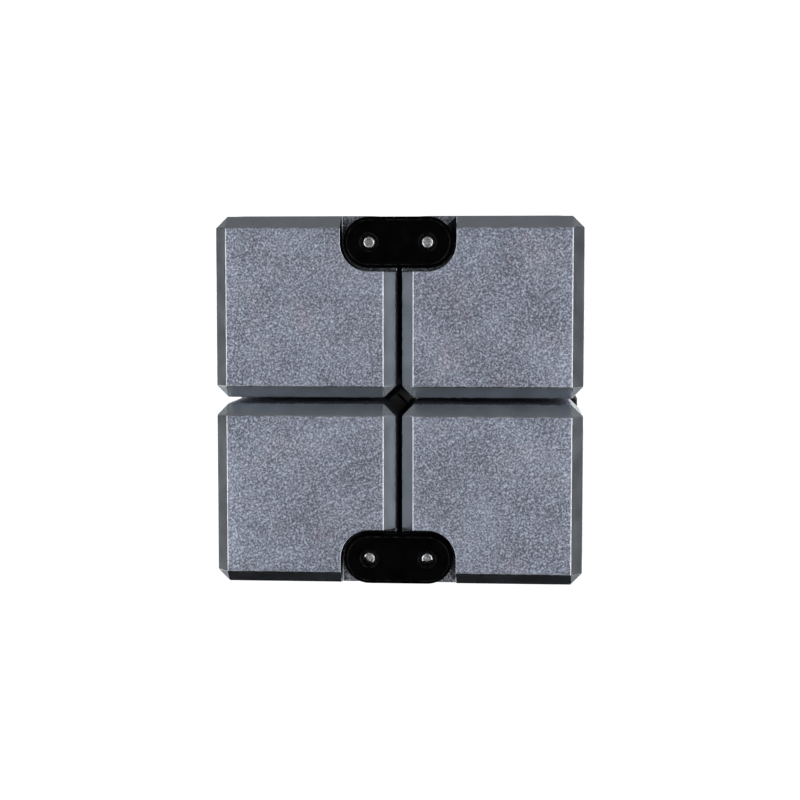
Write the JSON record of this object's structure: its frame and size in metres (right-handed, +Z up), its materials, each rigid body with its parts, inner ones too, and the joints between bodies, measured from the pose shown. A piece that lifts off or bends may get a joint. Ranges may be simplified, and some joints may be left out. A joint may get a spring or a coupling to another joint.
{
  "type": "folding fidget cube",
  "caption": "Desk fidget toy: chamfered metal cubes joined in a ring by two-pin link hinges, folding over and over between a closed cube and flat or long blocks.",
  "frame": {"origin": "middle of the face that the closed cube stands on", "axes": "+Z up through the closed cube, +X to the right, and -Y out of the front face, the one with a hinge link at the middle of its upper and its lower edge"},
  "size_m": [0.04, 0.04, 0.04],
  "materials": {
    "anodised_cube": "fine blasted and anodised gunmetal grey, satin",
    "black_link": "deep black, smooth semi-gloss",
    "steel_pin": "bright, with turning marks on the ends"
  },
  "bodies": {
    "bottom_front_pair": {"cube_bottom_front_left": "anodised_cube", "cube_bottom_front_right": "anodised_cube", "link_bottom_outer": "black_link", "link_bottom_inner": "black_link", "pin_bottom_right": "steel_pin", "pin_bottom_left": "steel_pin"},
    "right_lower_link": {"link_right_lower_outer": "black_link", "link_right_lower_inner": "black_link", "pin_right_lower_front": "steel_pin", "pin_right_lower_back": "steel_pin"},
    "bottom_back_right": {"cube_bottom_back_right": "anodised_cube"},
    "back_right_link": {"link_back_right_outer": "black_link", "link_back_right_inner": "black_link", "pin_back_right_upper": "steel_pin", "pin_back_right_lower": "steel_pin"},
    "top_back_right": {"cube_top_back_right": "anodised_cube"},
    "right_upper_link": {"link_right_upper_outer": "black_link", "link_right_upper_inner": "black_link", "pin_right_upper_back": "steel_pin", "pin_right_upper_front": "steel_pin"},
    "top_front_pair": {"cube_top_front_left": "anodised_cube", "cube_top_front_right": "anodised_cube", "link_top_outer": "black_link", "link_top_inner": "black_link", "pin_top_left": "steel_pin", "pin_top_right": "steel_pin"},
    "left_lower_link": {"link_left_lower_outer": "black_link", "link_left_lower_inner": "black_link", "pin_left_lower_back": "steel_pin", "pin_left_lower_front": "steel_pin"},
    "bottom_back_left": {"cube_bottom_back_left": "anodised_cube"},
    "back_left_link": {"link_back_left_outer": "black_link", "link_back_left_inner": "black_link", "pin_back_left_lower": "steel_pin", "pin_back_left_upper": "steel_pin"},
    "left_upper_link": {"link_left_upper_outer": "black_link", "link_left_upper_inner": "black_link", "pin_left_upper_front": "steel_pin", "pin_left_upper_back": "steel_pin"},
    "top_back_left": {"cube_top_back_left": "anodised_cube"}
  },
  "joints": [
    {"name": "right_front_pin", "type": "hinge", "parent": "bottom_front_pair", "child": "right_lower_link", "pos_m": [0.0171, -0.00315, 0.01], "axis": [0, 0, -1], "range_deg": [0, 90]},
    {"name": "right_back_pin", "type": "hinge", "parent": "right_lower_link", "child": "bottom_back_right", "pos_m": [0.0171, 0.00315, 0.01], "axis": [0, 0, -1], "range_deg": [0, 90]},
    {"name": "fold_lower_pin", "type": "hinge", "parent": "bottom_back_right", "child": "back_right_link", "pos_m": [0.01, 0.0171, 0.01685], "axis": [-1, 0, 0], "range_deg": [0, 90]},
    {"name": "fold_upper_pin", "type": "hinge", "parent": "back_right_link", "child": "top_back_right", "pos_m": [0.01, 0.0171, 0.02315], "axis": [-1, 0, 0], "range_deg": [0, 90]},
    {"name": "right_upper_back_pin", "type": "hinge", "parent": "top_back_right", "child": "right_upper_link", "pos_m": [0.0171, 0.00315, 0.03], "axis": [0, 0, 1], "range_deg": [0, 90]},
    {"name": "right_upper_front_pin", "type": "hinge", "parent": "right_upper_link", "child": "top_front_pair", "pos_m": [0.0171, -0.00315, 0.03], "axis": [0, 0, 1], "range_deg": [0, 90]},
    {"name": "left_front_pin", "type": "hinge", "parent": "bottom_front_pair", "child": "left_lower_link", "pos_m": [-0.0171, -0.00315, 0.01], "axis": [0, 0, 1], "range_deg": [0, 90]},
    {"name": "left_back_pin", "type": "hinge", "parent": "left_lower_link", "child": "bottom_back_left", "pos_m": [-0.0171, 0.00315, 0.01], "axis": [0, 0, 1], "range_deg": [0, 90]},
    {"name": "fold_left_lower_pin", "type": "hinge", "parent": "bottom_back_left", "child": "back_left_link", "pos_m": [-0.01, 0.0171, 0.01685], "axis": [-1, 0, 0], "range_deg": [0, 90]},
    {"name": "left_upper_front_pin", "type": "hinge", "parent": "top_front_pair", "child": "left_upper_link", "pos_m": [-0.0171, -0.00315, 0.03], "axis": [0, 0, 1], "range_deg": [0, 90]},
    {"name": "left_upper_back_pin", "type": "hinge", "parent": "left_upper_link", "child": "top_back_left", "pos_m": [-0.0171, 0.00315, 0.03], "axis": [0, 0, 1], "range_deg": [0, 90]}
  ],
  "couplings": [
    {"joint": "right_upper_back_pin", "follows": "right_back_pin", "ratio": 1},
    {"joint": "right_upper_front_pin", "follows": "right_front_pin", "ratio": 1},
    {"joint": "fold_left_lower_pin", "follows": "fold_lower_pin", "ratio": 1},
    {"joint": "left_upper_front_pin", "follows": "left_front_pin", "ratio": 1},
    {"joint": "left_upper_back_pin", "follows": "left_back_pin", "ratio": 1}
  ]
}
